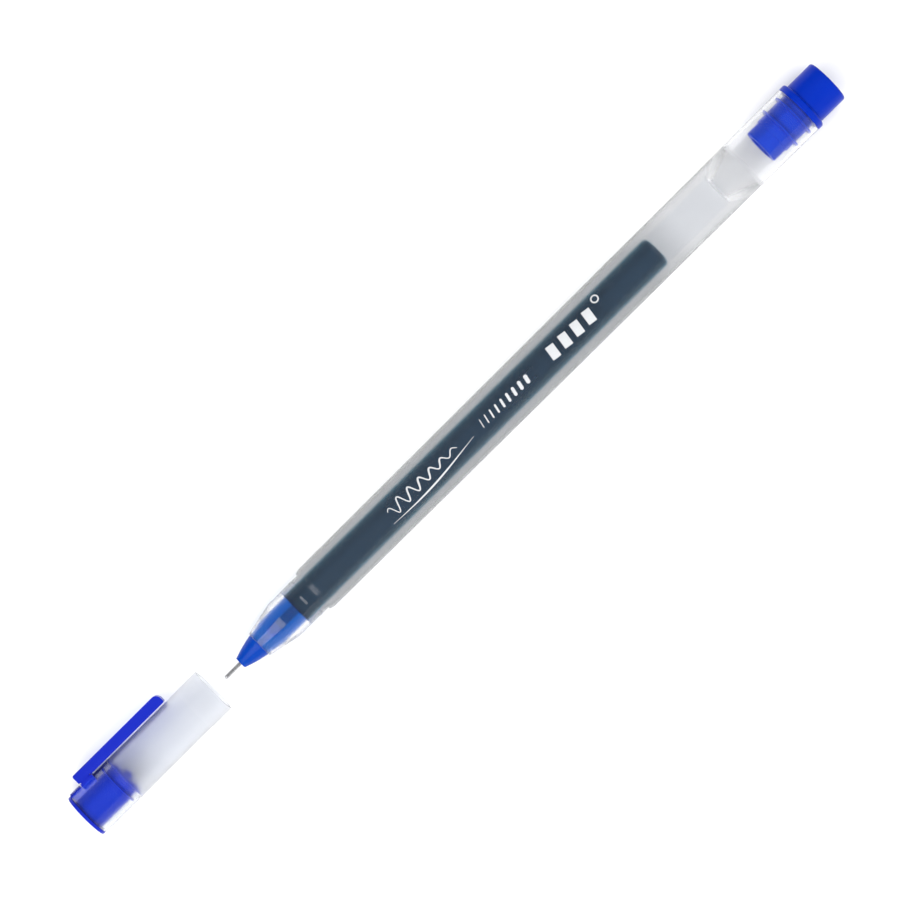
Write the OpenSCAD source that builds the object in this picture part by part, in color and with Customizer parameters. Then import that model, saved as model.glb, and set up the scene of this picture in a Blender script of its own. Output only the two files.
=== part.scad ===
// Capped gel pen, lying on its side with the cap pulled off in front of the point.
// The pen's axis is X: the writing point is towards -X and the tail towards +X. The clip is on the +Y side.
// The origin is on the axis at the shoulder of the tail post, where the post leaves its flange.
// Lengths called "from the point" run along the axis from the writing ball to the tail.
// Depths in the cap run from its open mouth to its closed end.

/* [Pen] */
// Length of the uncapped pen, from the ball to the end of the tail post
pen_length = 140.1; // [136:0.1:146]
// Distance from the ball to the mouth of the pulled-off cap
cap_gap = 2.7; // [1:0.1:8]

/* [Barrel] */
// Distance from the ball to the front lip of the barrel
lip_at = 8; // [7.8:0.05:8.2]
// Diameter of the front lip
lip_d = 5; // [4.9:0.05:5.2]
// Distance from the ball to the end of the front cone
cone_end_at = 13.6; // [13:0.1:14.5]
// Diameter of the polished seat that the cap slides over
seat_d = 7.4; // [7.2:0.02:7.44]
// Distance from the ball to the shoulder that stops the cap
shoulder_at = 20.46; // [20:0.02:21]
// Diameter of the body just behind the shoulder
body_front_d = 8.55; // [8.5:0.05:9]
// Diameter of the body at its rear end, wider by the mould's draft
body_rear_d = 9.2; // [9:0.02:9.4]
// Diameter of the bore that holds the ink
ink_bore_d = 3.82; // [3.7:0.02:4.1]
// Diameter of the wider bore behind the ink, which takes the tail plug
rear_bore_d = 8.24; // [8:0.02:8.3]

/* [Nib] */
// Diameter of the steel needle tube
needle_d = 0.75; // [0.7:0.01:0.8]
// Length of needle that shows in front of the nose
needle_out = 3.63; // [3.2:0.01:4]
// Diameter of the writing ball
ball_d = 0.5; // [0.46:0.02:0.5]
// Diameter of the front face of the nose
nose_front_d = 2.1; // [1.8:0.05:2.2]
// Diameter of the nose where it meets the lip of the barrel
nose_rear_d = 4.42; // [4.3:0.02:4.42]
// Diameter of the nib holder's spigot inside the barrel
spigot_d = 5.4; // [5.2:0.02:5.4]
// Diameter of the ink channel in the spigot
channel_d = 1.8; // [1.6:0.1:2.2]

/* [Ink] */
// Distance from the ball to the rear end of the spigot, where the ink column starts
ink_from = 16.5; // [16:0.1:17]
// Length of the ink column
ink_length = 83.9; // [60:0.1:84]
// Length of the clear grease that follows the ink
follower_length = 13.9; // [10:0.1:13.9]

/* [Tail plug] */
// Diameter of the flange against the rear end of the barrel
flange_d = 9.3; // [9.2:0.02:9.6]
// Thickness of the flange
flange_t = 1.3; // [1:0.1:1.6]
// Diameter of the tail post
post_d = 8.06; // [7.8:0.02:8.4]
// Length of the tail post behind the flange
post_length = 5.6; // [5:0.1:7]
// Diameter of the vent that lets air in behind the ink
vent_d = 0.8; // [0.6:0.1:1.2]

/* [Cap] */
// Length of the cap, from its mouth to its end disc
cap_length = 29.9; // [29.5:0.1:30.5]
// Outer diameter of the sleeve
sleeve_d = 8.3; // [8.2:0.02:8.4]
// Outer diameter of the sleeve round its mouth
mouth_d = 8.44; // [8.36:0.02:8.5]
// Diameter of the sleeve's bore, which runs on the seat
sleeve_bore_d = 7.46; // [7.46:0.02:7.5]
// Diameter of the wider bore at the mouth, which clears the seat's bead
mouth_bore_d = 7.66; // [7.64:0.02:7.72]
// Length of the wider bore at the mouth
mouth_length = 3.9; // [3.6:0.1:4.2]
// Diameter of the coloured plug inside the sleeve
plug_d = 6.3; // [6:0.05:6.5]
// Depth of the plug's inner end from the mouth
plug_depth = 19.98; // [19.8:0.02:20.2]

/* [Clip] */
// Depth of the clip's free end from the mouth
clip_tip_depth = 7; // [6.5:0.1:9]
// Depth of the clip's heel from the mouth
clip_heel_depth = 26.5; // [26.4:0.1:26.6]
// Length of the root under the heel
clip_root_length = 2.6; // [2.4:0.1:2.6]
// Thickness of the clip's arm, measured away from the axis
clip_thickness = 1.9; // [1.7:0.05:2.1]
// Width of the clip at its root
clip_width = 4.2; // [3.6:0.1:4.6]
// Width of the clip at its free end
clip_tip_width = 3.4; // [3:0.1:3.6]
// Gap between the arm and the sleeve
clip_gap = 0.2; // [0.2:0.02:0.3]

/* [Hidden] */
$fn = 96;

eps = 0.01;            // how far a cutting solid passes the face that it cuts
slack = 0.02;          // gap between two pieces that are pressed together
rest_seam = 1.3;       // turns the pieces that the pen lies on, so that it rests on a mesh face and not on an edge

flange_front_at = pen_length - post_length - flange_t;
tail_shoulder_at = pen_length - post_length;

lip_bore_r = nose_rear_d / 2 + slack;
lip_bore_length = 0.6;
lip_round = 0.12;                 // rounding of the barrel's front lip, inside and out
spigot_bore_r = spigot_d / 2 + slack;
spigot_full_at = lip_at + 3;      // where the spigot reaches its full diameter
shoulder_chamfer = 0.94;          // length of the chamfer behind the shoulder
shoulder_face_r = body_front_d / 2 - 0.2;

bead_at = shoulder_at - 1.71;     // middle of the bead that the cap snaps over
bead_height = 0.08;
bead_flat = 0.2;
bead_ramp = 0.4;

ink_to = ink_from + ink_length;
follower_to = ink_to + follower_length;
rear_bore_from = flange_front_at - 18.6;   // start of the cone between the two bores
rear_cone_length = 5.2;
meniscus = 0.8;                   // rounding of the ink column's rear edge
follower_dish = 0.6;              // depth of the hollow in the grease's rear face

needle_from = 0.14;               // the ball stands out of the tube by this much
ball_at = ball_d / 2 + 0.03;      // middle of the ball, behind the front of the crimped lip
socket_r = ball_d / 2 + 0.025;
needle_bore_r = 0.19;
needle_to = 10.2;
channel_from = 10.5;
dimple_at = 0.85;
dimple_d = 0.36;

plug_spigot_from = flange_front_at - 8.8;
plug_step_at = flange_front_at - 6.2;
plug_rings_at = [flange_front_at - 4.3, flange_front_at - 1.3];
plug_spigot_d = 6.8;
plug_nose_d = 6.4;
plug_hollow_d = 4.6;
plug_end_wall = 1.5;

cap_rim_x = -tail_shoulder_at - cap_gap;
disc_t = 0.65;                    // thickness of the end disc at its rim
disc_rise = 0.23;                 // height of the disc's dome in its middle
disc_round = 0.22;
disc_from_depth = cap_length - disc_rise - disc_t;
plug_rings = [20.4, 22.1];        // depths of the plug's two sealing rings
plug_step_depth = 22.2;
plug_front_d = plug_d - 0.3;
nub_d = 1.7;
nub_length = 0.7;
needle_recess_d = 1;
needle_recess_depth = plug_depth + 2.2;
slot_width = 3.2;
slot_from_depth = clip_heel_depth - clip_root_length;
grip_from_depth = clip_heel_depth + 0.3;
tooth_count = 6;
tooth_height = 0.32;

arm_inner_y = sleeve_d / 2 + clip_gap;
arm_outer_y = arm_inner_y + clip_thickness;
hinge_depth = clip_heel_depth - clip_root_length / 2;
hinge_y = arm_inner_y + 0.4;
knuckle_r = 1.05;
knuckle_gap = 0.06;
neck_half = 0.9;                  // half the length of the stub's neck, under the knuckle

// Place along X of a point this far behind the ball
function pen_x(from_point) = from_point - tail_shoulder_at;

// Place along X of a point this deep in the cap
function cap_x(depth) = cap_rim_x - depth;

// Turns a profile of [radius, place along X] points round the pen's axis, with the surface's seam at this angle
module turned(seam = 0) {
  rotate([seam, 0, 0])
    rotate([0, 90, 0])
      rotate_extrude()
        children();
}

// Profile of a solid band from one place to another
module band(x0, x1, r0, r1) {
  translate([r0, min(x0, x1)])
    square([r1 - r0, abs(x1 - x0)]);
}

// What a round corner takes off a square one, with the corner at the origin and the solid in [dx, dy]
module corner_waste(r, dx, dy) {
  difference() {
    translate([dx < 0 ? -r : -eps, dy < 0 ? -r : -eps])
      square(r + eps);
    translate([dx * r, dy * r])
      circle(r);
  }
}

// Profile of a disc with rounded rims, from the axis outwards
module rounded_disc(x0, x1, r, round_0, round_1) {
  difference() {
    band(x0, x1, 0, r);
    translate([r, min(x0, x1)])
      corner_waste(round_0, -1, 1);
    translate([r, max(x0, x1)])
      corner_waste(round_1, -1, -1);
  }
}

module barrel_outline() {
  bead_r = seat_d / 2 + bead_height;
  polygon([
    [0, pen_x(lip_at)],
    [lip_d / 2, pen_x(lip_at)],
    [lip_d / 2, pen_x(lip_at) + lip_round],
    [seat_d / 2, pen_x(cone_end_at)],
    [seat_d / 2, pen_x(bead_at) - bead_flat / 2 - bead_ramp],
    [bead_r, pen_x(bead_at) - bead_flat / 2],
    [bead_r, pen_x(bead_at) + bead_flat / 2],
    [seat_d / 2, pen_x(bead_at) + bead_flat / 2 + bead_ramp / 2],
    [seat_d / 2, pen_x(shoulder_at)],
    [shoulder_face_r, pen_x(shoulder_at)],
    [body_front_d / 2, pen_x(shoulder_at) + shoulder_chamfer],
    [body_rear_d / 2, pen_x(flange_front_at)],
    [0, pen_x(flange_front_at)]
  ]);
}

module barrel_bore() {
  polygon([
    [-eps, pen_x(lip_at) - 1],
    [lip_bore_r, pen_x(lip_at) - 1],
    [lip_bore_r, pen_x(lip_at) + lip_bore_length],
    [spigot_bore_r, pen_x(spigot_full_at)],
    [spigot_bore_r, pen_x(ink_from)],
    [ink_bore_d / 2, pen_x(ink_from)],
    [ink_bore_d / 2, pen_x(rear_bore_from)],
    [rear_bore_d / 2, pen_x(rear_bore_from) + rear_cone_length],
    [rear_bore_d / 2, pen_x(flange_front_at) + 1],
    [-eps, pen_x(flange_front_at) + 1]
  ]);
}

module barrel() {
  color([0.86, 0.88, 0.9, 0.45])
    turned(rest_seam)
      difference() {
        barrel_outline();
        barrel_bore();
        translate([lip_d / 2, pen_x(lip_at)])
          corner_waste(lip_round, -1, 1);
        translate([lip_bore_r, pen_x(lip_at)])
          corner_waste(lip_round, 1, 1);
      }
}

// The nose is a slightly bulged cone: its side is one arc through both ends
module nib_holder() {
  nose_length = lip_at - needle_out;
  rise = (nose_rear_d - nose_front_d) / 2;
  bulge = 0.1;
  steps = 10;
  color([0, 0.24, 0.85])
    turned()
      difference() {
        polygon(concat(
          [[0, pen_x(needle_out)]],
          [for (i = [0 : steps])
            let (f = i / steps)
            [nose_front_d / 2 + rise * f + bulge * sin(180 * f), pen_x(needle_out + nose_length * f)]
          ],
          [
            [nose_rear_d / 2, pen_x(lip_at + lip_bore_length)],
            [spigot_d / 2, pen_x(spigot_full_at)],
            [spigot_d / 2, pen_x(ink_from)],
            [0, pen_x(ink_from)]
          ]
        ));
        band(pen_x(needle_out) - 1, pen_x(channel_from) + eps, -eps, needle_d / 2 + eps);
        band(pen_x(channel_from), pen_x(ink_from) + 1, -eps, channel_d / 2);
      }
}

module needle_tube() {
  color([0.72, 0.72, 0.74])
    difference() {
      turned()
        difference() {
          polygon([
            [0, pen_x(needle_from)],
            [0.29, pen_x(needle_from)],
            [needle_d / 2, pen_x(needle_from) + 0.3],
            [needle_d / 2, pen_x(needle_to)],
            [0, pen_x(needle_to)]
          ]);
          polygon([
            [-eps, pen_x(needle_from) - eps],
            [ball_d / 2 - 0.015, pen_x(needle_from) - eps],
            [socket_r, pen_x(ball_at) - 0.04],
            [socket_r, pen_x(ball_at) + 0.08],
            [needle_bore_r, pen_x(ball_at) + 0.3],
            [needle_bore_r, pen_x(needle_to) + 1],
            [-eps, pen_x(needle_to) + 1]
          ]);
        }
      for (turn = [30, 150, 270])
        rotate([turn, 0, 0])
          translate([pen_x(dimple_at), 0, needle_d / 2 + dimple_d / 4])
            sphere(d = dimple_d, $fn = 32);
    }
}

module tip_ball() {
  color([0.8, 0.8, 0.82])
    translate([pen_x(ball_at), 0, 0])
      sphere(d = ball_d, $fn = 48);
}

// The ink that fills the channel of the nib holder
module nib_ink() {
  color([0.1, 0.13, 0.32])
    turned()
      rounded_disc(pen_x(channel_from) + slack, pen_x(ink_from) - slack, channel_d / 2 - slack, 0.5, 0.1);
}

module ink_column() {
  color([0.12, 0.17, 0.3])
    turned()
      rounded_disc(pen_x(ink_from) + slack, pen_x(ink_to), ink_bore_d / 2 - slack, 0.1, meniscus);
}

// Clear grease: its front face fits over the round end of the ink, and its rear face is hollow
module ink_follower() {
  r = ink_bore_d / 2 - slack;
  dish_r = (r * r + follower_dish * follower_dish) / (2 * follower_dish);
  color([0.85, 0.88, 0.93, 0.5])
    turned()
      difference() {
        band(pen_x(ink_to) - meniscus, pen_x(follower_to), 0, r);
        translate([0, -eps])
          rounded_disc(pen_x(ink_to) - meniscus - 1, pen_x(ink_to) + slack + eps, r + slack, 0.1, meniscus);
        translate([0, pen_x(follower_to) + dish_r - follower_dish])
          circle(dish_r);
        translate([-2 * dish_r, pen_x(ink_from)])
          square([2 * dish_r, 2 * pen_length]);
      }
}

module tail_plug() {
  ring_r = rear_bore_d / 2 - slack;
  ring_t = 0.34;
  hollow_to = pen_length - plug_end_wall;
  color([0, 0.2, 0.8])
    turned(rest_seam)
      difference() {
        union() {
          rounded_disc(pen_x(plug_spigot_from), pen_x(plug_step_at) + eps, plug_nose_d / 2, 0.3, eps);
          rounded_disc(pen_x(plug_step_at), pen_x(flange_front_at) + eps, plug_spigot_d / 2, 0.15, eps);
          for (at = plug_rings_at)
            rounded_disc(pen_x(at) - ring_t / 2, pen_x(at) + ring_t / 2, ring_r, 0.15, 0.15);
          rounded_disc(pen_x(flange_front_at), pen_x(tail_shoulder_at), flange_d / 2, 0.3, 0.4);
          rounded_disc(pen_x(flange_front_at), pen_x(pen_length), post_d / 2, eps, 0.4);
        }
        band(pen_x(plug_spigot_from) - 1, pen_x(hollow_to), -eps, plug_hollow_d / 2);
        band(pen_x(hollow_to) - 1, pen_x(pen_length) + 1, -eps, vent_d / 2);
      }
}

// The window in the sleeve's closed end that the clip's root and the grip teeth fill
module slot_block(from_depth, to_depth, width) {
  translate([cap_x(to_depth), 0, -width / 2])
    cube([to_depth - from_depth, sleeve_d, width]);
}

module cap_sleeve() {
  flare = 0.7;
  mouth_round = 0.17;
  color([0.84, 0.87, 0.92, 0.5])
    difference() {
      turned()
        difference() {
          polygon([
            [0, cap_x(0)],
            [mouth_d / 2, cap_x(0)],
            [mouth_d / 2, cap_x(mouth_length)],
            [sleeve_d / 2, cap_x(mouth_length + flare)],
            [sleeve_d / 2, cap_x(disc_from_depth)],
            [0, cap_x(disc_from_depth)]
          ]);
          band(cap_x(-1), cap_x(mouth_length), -eps, mouth_bore_d / 2);
          band(cap_x(mouth_length - eps), cap_x(cap_length), -eps, sleeve_bore_d / 2);
          translate([mouth_d / 2, cap_x(0)])
            corner_waste(mouth_round, -1, -1);
          translate([mouth_bore_d / 2, cap_x(0)])
            corner_waste(mouth_round, 1, -1);
        }
      slot_block(slot_from_depth, cap_length + 1, slot_width);
    }
}

// The filling of the sleeve's slot, with fine teeth across it behind the clip
module grip_teeth() {
  pitch = (disc_from_depth - grip_from_depth) / tooth_count;
  base_r = sleeve_d / 2 - 0.05;
  intersection() {
    turned()
      union() {
        band(cap_x(disc_from_depth), cap_x(slot_from_depth + slack), plug_d / 2 - 0.2, base_r);
        for (i = [0 : tooth_count - 1])
          let (middle = grip_from_depth + (i + 0.5) * pitch)
          polygon([
            [base_r - eps, cap_x(middle - pitch / 2)],
            [base_r + tooth_height, cap_x(middle - pitch / 5)],
            [base_r + tooth_height, cap_x(middle + pitch / 5)],
            [base_r - eps, cap_x(middle + pitch / 2)]
          ]);
      }
    slot_block(slot_from_depth + slack, disc_from_depth, slot_width - 2 * slack);
  }
}

// The stub that holds the clip: a web through the slot, with a round knuckle at its outer end
module clip_stub() {
  web_half = clip_root_length / 2 - slack;
  intersection() {
    union() {
      translate([cap_x(hinge_depth), hinge_y, 0])
        cylinder(r = knuckle_r, h = slot_width, center = true, $fn = 48);
      translate([cap_x(hinge_depth) - neck_half, 0, -slot_width / 2])
        cube([2 * neck_half, hinge_y, slot_width]);
      translate([cap_x(hinge_depth) - web_half, 0, -slot_width / 2])
        cube([2 * web_half, arm_inner_y, slot_width]);
    }
    translate([cap_x(hinge_depth) - 2 * knuckle_r, plug_d / 2 - 0.3, -slot_width / 2 + slack])
      cube([4 * knuckle_r, sleeve_d, slot_width - 2 * slack]);
  }
}

// Profile of the cap's end disc, with a low dome on its outer face
module end_disc() {
  r = sleeve_d / 2;
  dome_edge_r = r - disc_round;
  dome_r = (dome_edge_r * dome_edge_r + disc_rise * disc_rise) / (2 * disc_rise);
  rounded_disc(cap_x(cap_length) + disc_rise, cap_x(disc_from_depth), r, disc_round, disc_round);
  intersection() {
    band(cap_x(cap_length) - 1, cap_x(disc_from_depth), 0, dome_edge_r);
    translate([0, cap_x(cap_length) + dome_r])
      circle(dome_r);
  }
}

module cap_plug() {
  ring_r = sleeve_bore_d / 2 - slack;
  ring_t = 0.3;
  color([0.1, 0.2, 0.82])
    union() {
      turned()
        difference() {
          union() {
            rounded_disc(cap_x(disc_from_depth + eps), cap_x(plug_step_depth), plug_d / 2, eps, 0.15);
            rounded_disc(cap_x(plug_step_depth + eps), cap_x(plug_depth), plug_front_d / 2, eps, 0.25);
            for (depth = plug_rings)
              rounded_disc(cap_x(depth + ring_t / 2), cap_x(depth - ring_t / 2), ring_r, 0.14, 0.14);
            band(cap_x(plug_depth + eps), cap_x(plug_depth - nub_length), 0, nub_d / 2);
            end_disc();
          }
          band(cap_x(needle_recess_depth), cap_x(0), -eps, needle_recess_d / 2);
        }
      grip_teeth();
      clip_stub();
    }
}

// Side view of the clip: a straight arm with a rounded tip
module clip_side() {
  x_tip = cap_x(clip_tip_depth);
  x_heel = cap_x(clip_heel_depth);
  root_lift = 0.2;
  difference() {
    translate([x_heel, arm_inner_y])
      square([x_tip - x_heel, arm_outer_y - arm_inner_y]);
    translate([x_heel - 1, arm_inner_y - 1])
      square([clip_root_length + 1, 1 + root_lift]);
    translate([x_tip, arm_outer_y])
      corner_waste(1.1, -1, -1);
    translate([x_tip, arm_inner_y])
      corner_waste(0.3, -1, 1);
    translate([x_heel, arm_outer_y])
      corner_waste(0.35, 1, -1);
  }
}

// End view of the clip: a bar with its outer edges rounded
module clip_section() {
  round_out = 0.45;
  difference() {
    translate([-clip_width / 2, arm_inner_y - 1])
      square([clip_width, arm_outer_y - arm_inner_y + 1]);
    translate([-clip_width / 2, arm_outer_y])
      corner_waste(round_out, 1, -1);
    translate([clip_width / 2, arm_outer_y])
      corner_waste(round_out, -1, -1);
  }
}

// The clip is hollowed between its two cheeks, where the knuckle sits
module cap_clip() {
  x_tip = cap_x(clip_tip_depth);
  x_heel = cap_x(clip_heel_depth);
  socket_width = slot_width + 2 * slack;
  color([0.13, 0.17, 0.8])
    difference() {
      intersection() {
        translate([0, 0, -clip_width])
          linear_extrude(2 * clip_width)
            clip_side();
        translate([x_heel - 1, 0, 0])
          rotate([0, 90, 0])
            linear_extrude(x_tip - x_heel + 2)
              clip_section();
        rotate([90, 0, 0])
          translate([0, 0, -2 * arm_outer_y])
            linear_extrude(2 * arm_outer_y)
              polygon([
                [x_heel - 1, -clip_width / 2],
                [x_tip, -clip_tip_width / 2],
                [x_tip, clip_tip_width / 2],
                [x_heel - 1, clip_width / 2]
              ]);
      }
      translate([cap_x(hinge_depth), hinge_y, 0])
        cylinder(r = knuckle_r + knuckle_gap, h = socket_width, center = true, $fn = 48);
    }
}

barrel();
nib_holder();
needle_tube();
tip_ball();
nib_ink();
ink_column();
ink_follower();
tail_plug();
cap_sleeve();
cap_plug();
cap_clip();
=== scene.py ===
"""A capped gel pen on a white table: refractive barrel, gel ink, frosted cap. All lengths are in metres."""

import math
import random

import bmesh
import bpy
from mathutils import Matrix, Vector


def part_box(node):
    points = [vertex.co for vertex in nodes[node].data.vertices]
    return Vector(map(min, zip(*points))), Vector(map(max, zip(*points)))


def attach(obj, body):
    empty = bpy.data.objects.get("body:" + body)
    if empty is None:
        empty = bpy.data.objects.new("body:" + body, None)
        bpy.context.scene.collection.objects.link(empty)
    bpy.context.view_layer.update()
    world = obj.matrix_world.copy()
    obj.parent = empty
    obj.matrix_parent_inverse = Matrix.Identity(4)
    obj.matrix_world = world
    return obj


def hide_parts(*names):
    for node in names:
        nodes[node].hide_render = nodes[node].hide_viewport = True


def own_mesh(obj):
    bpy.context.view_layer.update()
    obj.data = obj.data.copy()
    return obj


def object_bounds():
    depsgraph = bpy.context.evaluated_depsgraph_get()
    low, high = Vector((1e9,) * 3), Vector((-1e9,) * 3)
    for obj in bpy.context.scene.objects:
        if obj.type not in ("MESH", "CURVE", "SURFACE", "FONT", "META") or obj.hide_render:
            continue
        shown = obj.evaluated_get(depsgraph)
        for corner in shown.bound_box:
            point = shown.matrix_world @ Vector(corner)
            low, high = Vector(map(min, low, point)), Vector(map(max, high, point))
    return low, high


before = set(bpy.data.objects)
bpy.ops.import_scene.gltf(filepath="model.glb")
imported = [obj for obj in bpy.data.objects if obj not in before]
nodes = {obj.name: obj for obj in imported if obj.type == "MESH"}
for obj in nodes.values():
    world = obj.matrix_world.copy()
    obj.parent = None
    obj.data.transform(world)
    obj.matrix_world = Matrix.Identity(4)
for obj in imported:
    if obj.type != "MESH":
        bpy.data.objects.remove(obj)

CAD_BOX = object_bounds()
MM = 0.001


# ---------------------------------------------------------------- small helpers

class Shader:
    """Builds one material's nodes."""

    def __init__(self, name):
        self.material = bpy.data.materials.new(name)
        self.material.use_nodes = True
        self.tree = self.material.node_tree
        self.tree.nodes.clear()
        self.output = self.tree.nodes.new("ShaderNodeOutputMaterial")
        self._place = None
        self._split = None

    def add(self, kind, inputs=None, **settings):
        node = self.tree.nodes.new("ShaderNode" + kind)
        for key, value in settings.items():
            setattr(node, key, value)
        for key, value in (inputs or {}).items():
            self.set(node.inputs[key], value)
        return node

    def set(self, socket, value):
        if isinstance(value, bpy.types.NodeSocket):
            self.tree.links.new(value, socket)
        else:
            socket.default_value = value

    def place(self):
        """The point on the object, in metres."""
        if self._place is None:
            self._place = self.add("TexCoord").outputs["Object"]
        return self._place

    def axes(self):
        if self._split is None:
            self._split = self.add("SeparateXYZ", {0: self.place()}).outputs
        return self._split

    def math(self, operation, a, b=0.0, clamp=False):
        return self.add("Math", {0: a, 1: b}, operation=operation, use_clamp=clamp).outputs[0]

    def radius(self):
        """Distance from the pen's axis, in metres."""
        _, y, z = self.axes()
        return self.math("SQRT", self.math("ADD", self.math("MULTIPLY", y, y), self.math("MULTIPLY", z, z)))

    def ramp(self, value, low, high, to_low=0.0, to_high=1.0, smooth=True):
        node = self.add("MapRange", {
            "Value": value, "From Min": low, "From Max": high, "To Min": to_low, "To Max": to_high})
        node.interpolation_type = "SMOOTHSTEP" if smooth else "LINEAR"
        return node.outputs["Result"]

    def stretched(self, x, y, z):
        return self.add("Mapping", {"Vector": self.place(), "Scale": (x, y, z)}).outputs["Vector"]

    def noise(self, scale, detail=3.0, vector=None, roughness=0.55):
        node = self.add("TexNoise", {
            "Vector": vector or self.place(), "Scale": scale, "Detail": detail, "Roughness": roughness})
        return node.outputs["Fac"]

    def mix(self, fac, a, b):
        node = self.add("Mix", data_type="RGBA")
        self.set(node.inputs["Factor"], fac)
        self.set(node.inputs["A"], a)
        self.set(node.inputs["B"], b)
        return node.outputs["Result"]

    def bump(self, height, strength, distance, normal=None):
        node = self.add("Bump", {"Height": height, "Strength": strength, "Distance": distance})
        if normal is not None:
            self.set(node.inputs["Normal"], normal)
        return node.outputs["Normal"]

    def finish(self, shader):
        self.tree.links.new(shader, self.output.inputs["Surface"])
        return self.material


def dress(obj, *materials):
    obj.data.materials.clear()
    for m in materials:
        obj.data.materials.append(m)


def mesh_object(name, vertices, faces, material, smooth=True):
    data = bpy.data.meshes.new(name)
    data.from_pydata(vertices, [], faces)
    data.validate()
    data.update()
    obj = bpy.data.objects.new(name, data)
    bpy.context.scene.collection.objects.link(obj)
    for p in data.polygons:
        p.use_smooth = smooth
    dress(obj, material)
    return obj


def revolve(name, profile, material, turns=96, sharp=math.radians(35)):
    """A closed solid of revolution round X, from a profile [(x, r), ...] that starts and ends on the axis."""
    vertices, rings = [], []
    for x, r in profile:
        if r < 1e-9:
            rings.append([len(vertices)])
            vertices.append((x, 0, 0))
        else:
            rings.append(list(range(len(vertices), len(vertices) + turns)))
            for k in range(turns):
                a = 2 * math.pi * k / turns
                vertices.append((x, r * math.cos(a), r * math.sin(a)))
    faces = []
    for a, b in zip(rings, rings[1:]):
        for k in range(turns):
            n = (k + 1) % turns
            if len(a) == 1 and len(b) > 1:
                faces.append((a[0], b[k], b[n]))
            elif len(b) == 1 and len(a) > 1:
                faces.append((a[k], b[0], a[n]))
            elif len(a) > 1:
                faces.append((a[k], b[k], b[n], a[n]))
    obj = mesh_object(name, vertices, faces, material)
    bm = bmesh.new()
    bm.from_mesh(obj.data)
    bmesh.ops.recalc_face_normals(bm, faces=bm.faces)
    for e in bm.edges:
        if len(e.link_faces) == 2 and e.calc_face_angle(0) > sharp:
            e.smooth = False
    bm.to_mesh(obj.data)
    bm.free()
    return obj


# ---------------------------------------------------------------- places, all from the CAD frame

ink_lo, ink_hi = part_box("ink_column")
grease_lo, grease_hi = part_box("ink_follower")
nib_ink_lo, nib_ink_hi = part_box("nib_ink")
barrel_lo, barrel_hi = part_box("barrel")
holder_lo, holder_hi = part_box("nib_holder")
sleeve_lo, sleeve_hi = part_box("cap_sleeve")
INK_R = ink_hi.y
WET = 0.03 * MM            # the ink wets the wall, so it is drawn this far into it
GREASE_END = grease_hi.x
SPIGOT_END = holder_hi.x
CONE_BORE_END = GREASE_END + 5.2 * MM      # the bore widens to here behind the grease
PLUG_FROM = GREASE_END + 7 * MM            # from here on the bore is smooth, for the tail plug
SHOULDER = (barrel_lo.x + 11.5 * MM, barrel_lo.x + 13.2 * MM)     # polished in front of it, satin behind it
COVERED = (sleeve_lo.x + 7 * MM, sleeve_lo.x + 9 * MM)            # the cap's plug lies behind this
INK_ROUND = 0.8 * MM       # rounding of the ink's rear end
GLASS_IOR = 1.49

# ---------------------------------------------------------------- materials


def lit_through(s, shader, tint):
    """The shader, but shadow rays go straight on, a little dimmed, so that light reaches the inside."""
    passing = s.add("BsdfTransparent", {"Color": tint})
    shadow = s.add("LightPath").outputs["Is Shadow Ray"]
    return s.add("MixShader", {0: shadow, 1: shader, 2: passing.outputs[0]}).outputs[0]


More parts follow.
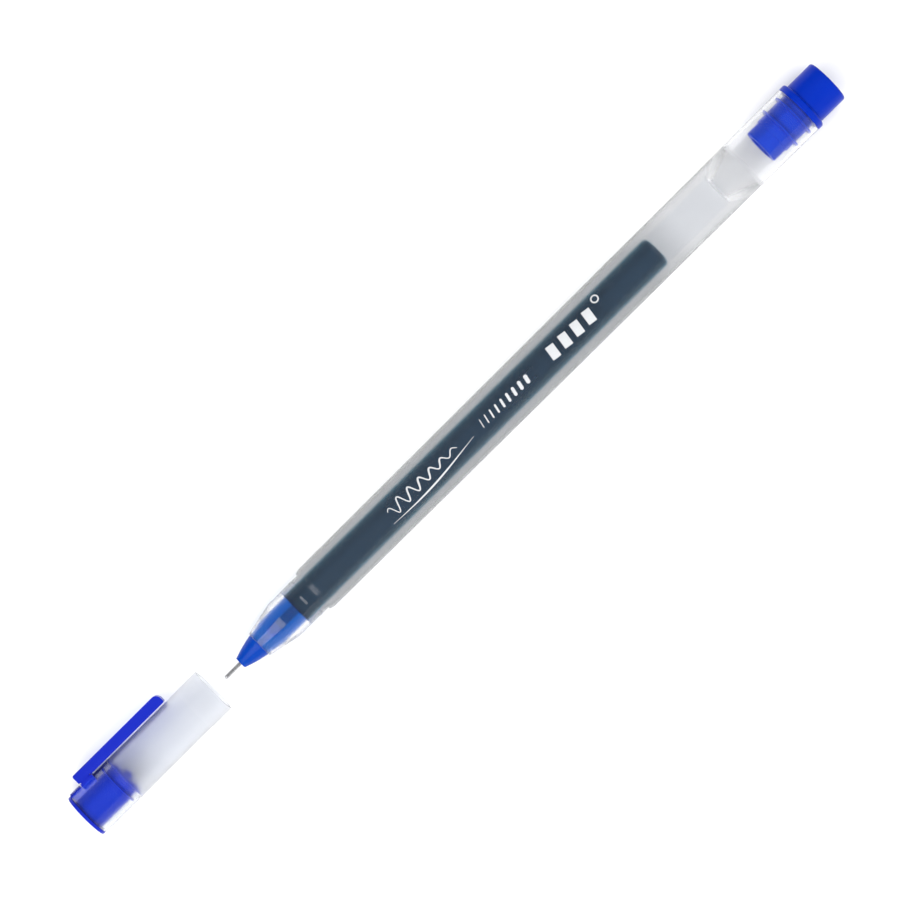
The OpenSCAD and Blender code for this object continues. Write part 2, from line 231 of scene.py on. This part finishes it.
def clear_plastic():
    """Natural plastic of the barrel: clear, a little milky, polished in front of the shoulder, and tinted
    greyer there as painted shade.
    """
    s = Shader("natural_plastic_look")
    x = s.axes()[0]
    satin_and_unshaded = s.ramp(x, *SHOULDER)
    fine = s.noise(9000, 2)
    flow = s.noise(160, 4, s.stretched(0.25, 1, 1))
    r = s.radius()
    bore = s.ramp(x, barrel_lo.x, barrel_lo.x + 6 * MM, 2.37 * MM, 3.3 * MM, smooth=False)
    bore = s.math("ADD", bore, s.ramp(x, GREASE_END, CONE_BORE_END, 0, 0.95 * MM, smooth=False))
    outside = s.math("GREATER_THAN", r, bore)
    rough = s.math("ADD", s.math("MULTIPLY", satin_and_unshaded, 0.08), 0.16)
    rough = s.math("ADD", rough, s.math("MULTIPLY", flow, 0.05))
    behind_grease = s.math("GREATER_THAN", x, GREASE_END)
    dry_cone = s.math("MULTIPLY", behind_grease, s.ramp(x, CONE_BORE_END, PLUG_FROM, 1, 0.15))
    dry_cone = s.math("MULTIPLY", s.math("SUBTRACT", 1.0, outside), dry_cone)
    rough = s.math("ADD", rough, s.math("MULTIPLY", dry_cone, 0.24))
    rough = s.math("MULTIPLY", rough, s.ramp(x, CONE_BORE_END, PLUG_FROM, 1, 0.35))
    height = s.math("ADD", s.math("MULTIPLY", fine, 0.25), flow)
    normal = s.bump(height, 0.12, 0.02 * MM)
    # painted shade: in front of the shoulder the same plastic gets a greyer tint than behind it
    front_painted_shade_tint = s.mix(flow, (0.79, 0.79, 0.80, 1), (0.82, 0.82, 0.83, 1))
    body_tint = s.mix(flow, (0.875, 0.88, 0.895, 1), (0.91, 0.913, 0.92, 1))
    tint = s.mix(outside, (0.985, 0.99, 1.0, 1), s.mix(satin_and_unshaded, front_painted_shade_tint, body_tint))
    polish = s.ramp(x, *SHOULDER, 0.3, 0.0)
    glass = s.add("BsdfPrincipled", {
        "Base Color": tint, "Roughness": rough, "IOR": GLASS_IOR, "Normal": normal,
        "Transmission Weight": s.math("SUBTRACT", 1.0, s.math("MULTIPLY", outside, 0.016)),
        "Coat Weight": s.math("MULTIPLY", polish, outside), "Coat Roughness": 0.02})
    wetted = s.add("BsdfTransparent", {"Color": (1, 1, 1, 1)})
    inner = s.math("LESS_THAN", r, INK_R + 0.2 * MM)
    before = s.math("LESS_THAN", x, GREASE_END)
    behind = s.math("GREATER_THAN", x, SPIGOT_END - 0.3 * MM)
    wet = s.math("MULTIPLY", inner, s.math("MULTIPLY", before, behind))
    lit = lit_through(s, glass.outputs[0], (0.98, 0.982, 0.985, 1))
    return s.finish(s.add("MixShader", {0: wet, 1: lit, 2: wetted.outputs[0]}).outputs[0])


def frosted_plastic():
    """Frosted cap sleeve: hazy where it is open, and clearer where the cap's plug is pressed into it."""
    s = Shader("frosted_plastic_look")
    fine = s.noise(14000, 2)
    cloud = s.noise(260, 3)
    open_end = s.ramp(s.axes()[0], *COVERED)
    smoothed = s.ramp(open_end, 0, 1, 0.45, 1, smooth=False)
    rough = s.math("MULTIPLY", s.math("ADD", s.math("MULTIPLY", cloud, 0.08), 0.26), smoothed)
    normal = s.bump(s.math("ADD", fine, s.math("MULTIPLY", cloud, 0.6)), 0.12, 0.015 * MM)
    outside = s.math("GREATER_THAN", s.radius(), sleeve_hi.z - 0.35 * MM)
    tint = s.mix(cloud, (0.86, 0.885, 0.925, 1), (0.885, 0.905, 0.94, 1))
    tint = s.mix(outside, (0.98, 0.985, 1.0, 1), tint)
    haze = s.math("MULTIPLY", outside, s.ramp(open_end, 0, 1, 0.008, 0.03, smooth=False))
    glass = s.add("BsdfPrincipled", {
        "Base Color": tint, "Roughness": rough, "IOR": GLASS_IOR, "Normal": normal,
        "Transmission Weight": s.math("SUBTRACT", 1.0, haze)})
    return s.finish(lit_through(s, glass.outputs[0], (0.98, 0.982, 0.988, 1)))


def blue_plastic(name, shown, painted_light_under_cover, cover_from, cover_to, cover_r, glow=None):
    """Blue plastic, painted a lighter blue where clear plastic covers it (beyond cover_from and within
    cover_r): painted light that makes up for the light the cover takes away.

    With glow, a little light of that colour comes through the piece.
    """
    s = Shader(name)
    fine = s.noise(7000, 2)
    flow = s.noise(300, 4, s.stretched(0.4, 1, 1))
    scuff = s.noise(900, 5, s.stretched(1, 0.12, 1), 0.7)
    scuff = s.ramp(scuff, 0.6, 0.8)
    along = s.ramp(s.axes()[0], cover_from, cover_to)
    painted_light_mask = s.math("MULTIPLY", along, s.math("LESS_THAN", s.radius(), cover_r))
    varied = s.math("MULTIPLY", flow, 0.6)
    # painted light: where it is covered, the part takes the lighter copy of its colour
    colour = s.mix(painted_light_mask, s.mix(varied, *shown), s.mix(varied, *painted_light_under_cover))
    rough = s.math("ADD", s.math("MULTIPLY", flow, 0.08), 0.25)
    rough = s.math("ADD", rough, s.math("MULTIPLY", scuff, 0.12))
    normal = s.bump(s.math("ADD", fine, s.math("MULTIPLY", flow, 0.8)), 0.15, 0.012 * MM)
    body = s.add("BsdfPrincipled", {
        "Base Color": colour, "Roughness": rough, "IOR": GLASS_IOR, "Specular IOR Level": 0.1,
        "Normal": normal, "Subsurface Weight": 0.15, "Subsurface Radius": (0.1, 0.25, 1.0),
        "Subsurface Scale": 0.6 * MM})
    return s.finish(lit_through(s, body.outputs[0], glow) if glow else body.outputs[0])


def nose_plastic():
    """Blue nib holder: opaque nose, and a stained spigot where the ink in it shows through; the spigot's blue
    is a lighter copy of the nose's, painted light for the light that comes through the barrel.
    """
    s = Shader("nose_blue_look")
    x = s.axes()[0]
    fine = s.noise(7000, 2)
    flow = s.noise(400, 3)
    colour = s.mix(s.math("MULTIPLY", flow, 0.6), (0.0003, 0.037, 0.31, 1), (0.001, 0.055, 0.38, 1))
    rough = s.math("ADD", s.math("MULTIPLY", flow, 0.06), 0.2)
    normal = s.bump(s.math("ADD", fine, s.math("MULTIPLY", flow, 0.8)), 0.15, 0.012 * MM)
    nose = s.add("BsdfPrincipled", {
        "Base Color": colour, "Roughness": rough, "IOR": GLASS_IOR, "Specular IOR Level": 0.15,
        "Normal": normal, "Subsurface Weight": 0.2, "Subsurface Radius": (0.1, 0.25, 1.0),
        "Subsurface Scale": 0.6 * MM})
    # painted light: the spigot gets a lighter blue than the nose, though it is the same plastic
    spigot = s.add("BsdfPrincipled", {
        "Base Color": s.mix(flow, (0.0, 0.10, 0.50, 1), (0.0, 0.14, 0.58, 1)),
        "Roughness": rough, "IOR": GLASS_IOR, "Specular IOR Level": 0.1, "Normal": normal})
    stain = s.add("BsdfTransparent", {"Color": (0.02, 0.48, 0.88, 1)})
    stained = s.add("MixShader", {0: 0.28, 1: stain.outputs[0], 2: spigot.outputs[0]})
    lit_spigot = lit_through(s, stained.outputs[0], (0.3, 0.55, 0.9, 1))
    inside = s.ramp(x, barrel_lo.x - 0.1 * MM, barrel_lo.x + 0.5 * MM)
    return s.finish(s.add("MixShader", {0: inside, 1: nose.outputs[0], 2: lit_spigot}).outputs[0])


def steel(name, roughness, metallic=1.0):
    s = Shader(name)
    lines = s.noise(6000, 3, s.stretched(1, 0.05, 0.05))
    grain = s.noise(20000, 2)
    colour = s.mix(grain, (0.46, 0.46, 0.48, 1), (0.60, 0.60, 0.61, 1))
    rough = s.math("ADD", s.math("MULTIPLY", lines, 0.16), roughness)
    normal = s.bump(lines, 0.2, 0.004 * MM)
    metal = s.add("BsdfPrincipled", {
        "Base Color": colour, "Metallic": metallic, "Roughness": rough, "Normal": normal})
    return s.finish(metal.outputs[0])


def gel_ink(name, base, light):
    s = Shader(name)
    swirl = s.noise(220, 4, s.stretched(0.3, 1, 1))
    grains = s.noise(5000, 2)
    colour = s.mix(s.math("MULTIPLY", swirl, s.math("ADD", grains, 0.2)), base, light)
    rough = s.math("ADD", s.math("MULTIPLY", grains, 0.1), 0.3)
    normal = s.bump(swirl, 0.1, 0.02 * MM)
    body = s.add("BsdfPrincipled", {
        "Base Color": colour, "Roughness": rough, "Specular IOR Level": 0.02, "Normal": normal,
        "Sheen Weight": 1.0, "Sheen Roughness": 0.35, "Sheen Tint": (0.15, 0.75, 1.0, 1)})
    return s.finish(body.outputs[0])


def clear_grease():
    s = Shader("clear_grease_look")
    cloud = s.noise(900, 4)
    colour = s.mix(cloud, (0.60, 0.66, 0.74, 1), (0.72, 0.76, 0.82, 1))
    haze = s.math("ADD", s.math("MULTIPLY", cloud, 0.03), 0.004)
    clear = s.add("BsdfTransparent", {"Color": (0.985, 0.99, 0.998, 1)})
    cloudy = s.add("BsdfPrincipled", {"Base Color": colour, "Roughness": 0.5, "Specular IOR Level": 0.0})
    mixed = s.add("MixShader", {0: haze, 1: clear.outputs[0], 2: cloudy.outputs[0]})
    return s.finish(mixed.outputs[0])


def grease_face():
    """The grease's rear face, where it meets the air."""
    s = Shader("grease_face_look")
    ripple = s.noise(700, 2)
    normal = s.bump(ripple, 0.3, 0.05 * MM)
    face = s.add("BsdfPrincipled", {
        "Base Color": s.mix(ripple, (0.86, 0.89, 0.93, 1), (0.92, 0.94, 0.97, 1)),
        "Roughness": 0.06, "IOR": 1.46, "Transmission Weight": 1.0, "Normal": normal})
    return s.finish(face.outputs[0])


def white_print():
    s = Shader("white_print_look")
    wear = s.noise(5200, 4)
    colour = s.mix(wear, (0.48, 0.50, 0.52, 1), (0.62, 0.63, 0.64, 1))
    rough = s.math("ADD", s.math("MULTIPLY", wear, 0.2), 0.3)
    normal = s.bump(wear, 0.3, 0.008 * MM)
    body = s.add("BsdfPrincipled", {"Base Color": colour, "Roughness": rough, "Normal": normal})
    return s.finish(body.outputs[0])


def paper_floor():
    s = Shader("white_floor_look")
    cloud = s.noise(3, 3)
    colour = s.mix(cloud, (0.90, 0.90, 0.90, 1), (0.93, 0.93, 0.93, 1))
    body = s.add("BsdfPrincipled", {"Base Color": colour, "Roughness": 0.8, "Specular IOR Level": 0.2})
    return s.finish(body.outputs[0])


dress(nodes["barrel"], clear_plastic())
dress(nodes["nib_holder"], nose_plastic())
dress(nodes["needle_tube"], steel("needle_steel_look", 0.2, 0.8))
dress(nodes["tip_ball"], steel("ball_metal_look", 0.1))
# painted light: inside the barrel the tail plug takes a lighter blue, to make up for the light the barrel's
# walls take away
dress(nodes["tail_plug"], blue_plastic(
    "tail_blue_look", ((0.0, 0.019, 0.34, 1), (0.0008, 0.03, 0.43, 1)),
    ((0.0005, 0.046, 0.60, 1), (0.002, 0.064, 0.72, 1)), barrel_hi.x, barrel_hi.x - 0.3 * MM, barrel_hi.z))
dress(nodes["cap_sleeve"], frosted_plastic())
cap_shown = ((0.006, 0.016, 0.35, 1), (0.010, 0.024, 0.44, 1))
# painted light: under the sleeve the cap's plug takes a lighter blue, to make up for the light the sleeve
# takes away
dress(nodes["cap_plug"], blue_plastic(
    "cap_plug_look", cap_shown, ((0.004, 0.034, 0.56, 1), (0.008, 0.048, 0.66, 1)),
    sleeve_lo.x, sleeve_lo.x + 0.3 * MM, sleeve_hi.z - 0.05 * MM))
dress(nodes["cap_clip"], blue_plastic(
    "clip_look", cap_shown, cap_shown, 0.0, MM, sleeve_hi.z, glow=(0.3, 0.4, 0.85, 1)))

# ---------------------------------------------------------------- ink and grease, which wet the wall


def rounded_rod(x0, x1, r, round_0, round_1, steps=8):
    """Profile of a rod with rounded ends, from x0 to x1."""
    profile = [(x0, 0), (x0, r - round_0)]
    for k in range(1, steps + 1):
        a = math.pi / 2 * k / steps
        profile.append((x0 + round_0 * (1 - math.cos(a)), r - round_0 * (1 - math.sin(a))))
    for k in range(steps + 1):
        a = math.pi / 2 * k / steps
        profile.append((x1 - round_1 * (1 - math.sin(a)), r - round_1 * (1 - math.cos(a))))
    profile.append((x1, 0))
    return profile


ink_look = gel_ink("ink_look", (0.015, 0.039, 0.073, 1), (0.023, 0.058, 0.108, 1))
ink = revolve("ink_fill", rounded_rod(ink_lo.x, ink_hi.x, INK_R + WET, 0.05 * MM, INK_ROUND), ink_look)
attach(ink, "pen")
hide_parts("ink_column")


def tapered_rod(x0, x1, r, tip_r, taper, steps=12):
    """Profile of a rod that swells from tip_r at x0 to r over the taper, and ends flat at x1."""
    swell = [math.sin(math.pi / 2 * k / steps) for k in range(steps + 1)]
    rising = [(x0 + taper * k / steps, tip_r + (r - tip_r) * s) for k, s in enumerate(swell)]
    return [(x0, 0)] + rising + [(x1, r), (x1, 0)]


# painted shade: the ink inside the nib holder is a darker copy of the gel ink
nib_ink_shaded_look = gel_ink("nib_ink_painted_shade_look", (0.008, 0.008, 0.03, 1), (0.02, 0.02, 0.07, 1))
nib_fill = revolve("nib_ink_fill", tapered_rod(
    nib_ink_lo.x, nib_ink_hi.x, nib_ink_hi.y + WET, 0.15 * MM, 2.4 * MM), nib_ink_shaded_look)
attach(nib_fill, "pen")
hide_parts("nib_ink")


def grease():
    """The grease: its front fits round the ink's rounded end, and its rear face is dished."""
    r = INK_R + WET * 0.6
    dish = 0.3 * MM
    front = ink_hi.x + 0.02 * MM
    steps = 10
    profile = [(front, 0)]
    for k in range(steps + 1):
        a = math.pi / 2 * k / steps
        profile.append((front - INK_ROUND * (1 - math.cos(a)), r - INK_ROUND * (1 - math.sin(a))))
    rear = []
    for k in range(steps + 1):
        f = 1 - k / steps
        rear.append((GREASE_END - dish * (1 - f * f), r * f))
    obj = revolve("grease_fill", profile + rear, clear_grease())
    obj.data.materials.append(grease_face())
    for p in obj.data.polygons:
        if p.normal.x > 0.3 and p.center.x > GREASE_END - 1.5 * dish:
            p.material_index = 1
    return obj


grease_fill = grease()
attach(grease_fill, "follower")
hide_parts("ink_follower")

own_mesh(ink)

# ---------------------------------------------------------------- white print, which isn't lettering


def barrel_wall():
    """(x, radius) at the front and rear ends of the barrel's tapered body."""
    points = [(v.co.x, math.hypot(v.co.y, v.co.z)) for v in nodes["barrel"].data.vertices]
    widest = max(r for _, r in points)
    rear = max(x for x, r in points if r > widest - 0.01 * MM)
    front_r = max(r for x, r in points if x < barrel_lo.x + 15 * MM)
    front = min(x for x, r in points if r > front_r - 0.01 * MM and x < barrel_lo.x + 15 * MM)
    return (front, front_r), (rear, widest)


WALL_FRONT, WALL_REAR = barrel_wall()


def wall_radius(x):
    f = (x - WALL_FRONT[0]) / (WALL_REAR[0] - WALL_FRONT[0])
    return WALL_FRONT[1] + f * (WALL_REAR[1] - WALL_FRONT[1])


PAINT_LAYER = (-0.006, 0.014)     # the paint's inner and outer face, in millimetres from the wall


class Print:
    """Collects flat strokes and lays them on the barrel as one thin layer of paint."""

    def __init__(self, x0):
        self.x0 = x0
        self.vertices = []
        self.faces = []

    def on_wall(self, u, v, lift):
        x = self.x0 + u * MM
        r = wall_radius(x) + lift * MM
        a = v * MM / r
        return (x, -r * math.sin(a), r * math.cos(a))

    def stroke(self, line, widths, across=4, closed=False):
        """A band along the line of (u, v) points, in millimetres, with a half width at each point."""
        count = len(line)
        base = len(self.vertices)
        per = across + 1
        for lift in PAINT_LAYER:
            for k, (u, v) in enumerate(line):
                a = line[k - 1] if k or closed else line[k]
                b = line[(k + 1) % count] if k < count - 1 or closed else line[k]
                du, dv = b[0] - a[0], b[1] - a[1]
                size = math.hypot(du, dv) or 1
                nu, nv = -dv / size, du / size
                for j in range(per):
                    w = widths[k] * (2 * j / across - 1)
                    self.vertices.append(self.on_wall(u + nu * w, v + nv * w, lift))
        layer = count * per
        spans = count if closed else count - 1
        for k in range(spans):
            a, b = base + k * per, base + (k + 1) % count * per
            for j in range(across):
                self.faces.append((a + j, a + j + 1, b + j + 1, b + j))
                self.faces.append((a + j + layer, b + j + layer, b + j + 1 + layer, a + j + 1 + layer))
            self.faces.append((a, b, b + layer, a + layer))
            self.faces.append((a + across, a + across + layer, b + across + layer, b + across))
        if not closed:
            for j in range(across):
                first, last = base + j, base + (count - 1) * per + j
                self.faces.append((first, first + layer, first + 1 + layer, first + 1))
                self.faces.append((last, last + 1, last + 1 + layer, last + layer))

    def bar(self, u0, v0, u1, v1, half):
        """A straight bar with round ends."""
        steps = 16
        line = [(u0 + (u1 - u0) * k / steps, v0 + (v1 - v0) * k / steps) for k in range(steps + 1)]
        length = math.hypot(u1 - u0, v1 - v0)
        widths = []
        for k in range(steps + 1):
            end = min(k, steps - k) / steps * length
            widths.append(half * math.sqrt(max(0.02, 1 - max(0, 1 - end / half) ** 2)))
        self.stroke(line, widths)

    def ring(self, u, v, radius, half):
        steps = 36
        turn = [2 * math.pi * k / steps for k in range(steps)]
        line = [(u + radius * math.cos(a), v + radius * math.sin(a)) for a in turn]
        self.stroke(line, [half] * steps, 2, True)

    def build(self, material):
        obj = mesh_object("print_marks", self.vertices, self.faces, material)
        bm = bmesh.new()
        bm.from_mesh(obj.data)
        bmesh.ops.recalc_face_normals(bm, faces=bm.faces)
        for e in bm.edges:
            if len(e.link_faces) == 2 and e.calc_face_angle(0) > 0.6:
                e.smooth = False
        bm.to_mesh(obj.data)
        bm.free()
        return obj


def print_marks():
    """A fading wave over a long swash, a scale of line widths, four slanted blocks and a small ring."""
    marks = Print(barrel_lo.x + 29.5 * MM)
    wave, thick = [], []
    for k in range(181):
        f = k / 180
        height = 1.25 * (1 - 0.72 * f) * min(1, 8 * f + 0.3)
        wave.append((0.9 + 15.6 * f, -0.3 - height * math.sin(2 * math.pi * 6.5 * f + 0.6)))
        swell = 0.75 + 0.25 * math.cos(13 * math.pi * f)
        thick.append(0.05 + 0.11 * math.sin(math.pi * f) ** 0.5 * swell)
    marks.stroke(wave, thick)
    swash, thick = [], []
    for k in range(81):
        f = k / 80
        swash.append((0.3 + 19.4 * f, 1.55 - 0.75 * f + 0.45 * math.sin(math.pi * f * 1.2)))
        thick.append(0.03 + 0.13 * math.sin(math.pi * f) ** 1.5)
    marks.stroke(swash, thick)
    u = 21.9
    for k in range(9):
        half = 0.07 + 0.035 * k
        u += half
        marks.bar(u, 0.75, u + 0.35, -0.85, half)
        u += half + 0.95 - 0.02 * k
    for k in range(4):
        u = 38.6 + 2.75 * k
        line = [(u + 0.36 * f / 8, 1.05 - 2.45 * f / 8) for f in range(9)]
        marks.stroke(line, [0.8] * 9, 6)
    marks.ring(49.7, -1.6, 0.62, 0.13)
    return marks.build(white_print())


marks = print_marks()
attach(marks, "pen")

# ---------------------------------------------------------------- small bubbles at the front of the grease


def bubbles():
    """Tiny air bubbles that cling to the wall round the front of the grease."""
    rng = random.Random(7)
    bm = bmesh.new()
    for _ in range(22):
        x = ink_hi.x + (0.6 + 9 * rng.random() ** 1.8) * MM
        a = rng.uniform(-1.9, 1.9)
        size = rng.uniform(0.035, 0.085) * MM
        r = INK_R - 0.14 * MM
        made = bmesh.ops.create_icosphere(bm, subdivisions=2, radius=size)
        for v in made["verts"]:
            v.co.x *= rng.uniform(1.0, 1.25)
            v.co += Vector((x, r * math.sin(a), r * math.cos(a)))
    data = bpy.data.meshes.new("grease_bubbles")
    bm.to_mesh(data)
    bm.free()
    for p in data.polygons:
        p.use_smooth = True
    obj = bpy.data.objects.new("grease_bubbles", data)
    bpy.context.scene.collection.objects.link(obj)
    return obj


def bubble_look():
    s = Shader("bubble_look")
    grain = s.noise(9000, 2)
    colour = s.mix(grain, (0.42, 0.47, 0.55, 1), (0.62, 0.67, 0.74, 1))
    body = s.add("BsdfPrincipled", {
        "Base Color": colour, "Roughness": s.math("ADD", s.math("MULTIPLY", grain, 0.1), 0.1),
        "Normal": s.bump(grain, 0.1, 0.005 * MM)})
    return s.finish(body.outputs[0])


specks = bubbles()
dress(specks, bubble_look())
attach(specks, "follower")

# ---------------------------------------------------------------- floor, lights and camera


def swept_round(name, profile, material, turns=64):
    """A sheet made by turning a profile of (radius, height) round a vertical axis, facing in."""
    vertices, faces = [(0, 0, profile[0][1])] if profile[0][0] == 0 else [], []
    first = len(vertices)
    rings = profile[first:]
    for r, h in rings:
        for k in range(turns):
            a = 2 * math.pi * k / turns
            vertices.append((r * math.cos(a), r * math.sin(a), h))
    if first:
        for k in range(turns):
            faces.append((0, 1 + k, 1 + (k + 1) % turns))
    for ring in range(len(rings) - 1):
        for k in range(turns):
            a, b = first + ring * turns + k, first + ring * turns + (k + 1) % turns
            faces.append((a, a + turns, b + turns, b))
    obj = mesh_object(name, vertices, faces, material)
    return obj


FLOOR_R, RIM, SCREEN_R = 2.4, 0.25, 2.7


def floor():
    """A white floor with a low curved rim far away, and a white screen behind it that no gloss reflects."""
    z = CAD_BOX[0].z - 0.02 * MM
    look = paper_floor()
    profile = [(0, z), (0.4, z), (1.2, z), (FLOOR_R, z)]
    for k in range(1, 9):
        a = math.pi / 2 * k / 8
        profile.append((FLOOR_R + RIM * math.sin(a), z + RIM * (1 - math.cos(a))))
    swept_round("white_floor", profile, look)
    screen = swept_round("white_screen", [(SCREEN_R, z), (SCREEN_R, z + 0.6), (SCREEN_R, z + 1.6)], look)
    screen.visible_glossy = False
    screen.visible_diffuse = False
    screen.visible_transmission = False


def aim(obj, target):
    direction = Vector(target) - obj.location
    obj.rotation_euler = direction.to_track_quat("-Z", "Y").to_euler()


def softbox(name, place, target, size_x, size_y, radiance):
    """A rectangular light whose face shines with this radiance."""
    light = bpy.data.lights.new(name, "AREA")
    light.shape = "RECTANGLE"
    light.size = size_x
    light.size_y = size_y
    light.energy = radiance * math.pi * size_x * size_y
    obj = bpy.data.objects.new(name, light)
    bpy.context.scene.collection.objects.link(obj)
    obj.location = place
    aim(obj, target)
    obj.visible_camera = False
    obj.visible_transmission = False
    return obj


floor()
middle = (CAD_BOX[0] + CAD_BOX[1]) / 2

sun_data = bpy.data.lights.new("ceiling_glow", "SUN")
sun_data.energy = 4.1
sun_data.angle = math.radians(120)
sun = bpy.data.objects.new("ceiling_glow", sun_data)
bpy.context.scene.collection.objects.link(sun)
sun.rotation_euler = (math.radians(9), math.radians(-6), 0)
sun.visible_glossy = False
sun.visible_transmission = False

tip = Vector((barrel_lo.x + 2.5 * MM, 0, 0))
tilt = math.radians(30)
overhead = tip + 0.7 * Vector((-math.sin(tilt), 0, math.cos(tilt)))
softbox("front_box", overhead, tip, 0.66, 0.30, 2.8)
softbox("near_card", (middle.x, -0.62, 0.29), (middle.x, 0, 0.26), 1.5, 0.56, 0.6)
softbox("far_card", (middle.x, 0.7, 0.26), (middle.x, 0, 0.22), 1.5, 0.40, 0.2)
softbox("tip_card", (tip.x - 0.55, 0, 0.12), tip, 0.7, 0.16, 1.6)

world = bpy.data.worlds.new("dim_room")
world.use_nodes = True
world.node_tree.nodes["Background"].inputs["Color"].default_value = (0.85, 0.88, 0.93, 1)
world.node_tree.nodes["Background"].inputs["Strength"].default_value = 0.06
bpy.context.scene.world = world

camera_data = bpy.data.cameras.new("photo_camera")
camera = bpy.data.objects.new("photo_camera", camera_data)
bpy.context.scene.collection.objects.link(camera)
bpy.context.scene.camera = camera
DISTANCE = 0.8
FRAME_WIDTH = 148.5 * MM
SENSOR_WIDTH = 36
camera_data.sensor_width = SENSOR_WIDTH
camera_data.lens = SENSOR_WIDTH * DISTANCE / FRAME_WIDTH
camera.location = (middle.x - 0.85 * MM, middle.y - 0.17 * MM, DISTANCE)
camera.rotation_euler = (0, 0, -math.radians(44.75))

bpy.context.scene.view_settings.view_transform = "Standard"
# Light passes several walls on its way to the table.
bpy.context.scene.cycles.transparent_max_bounces = 24
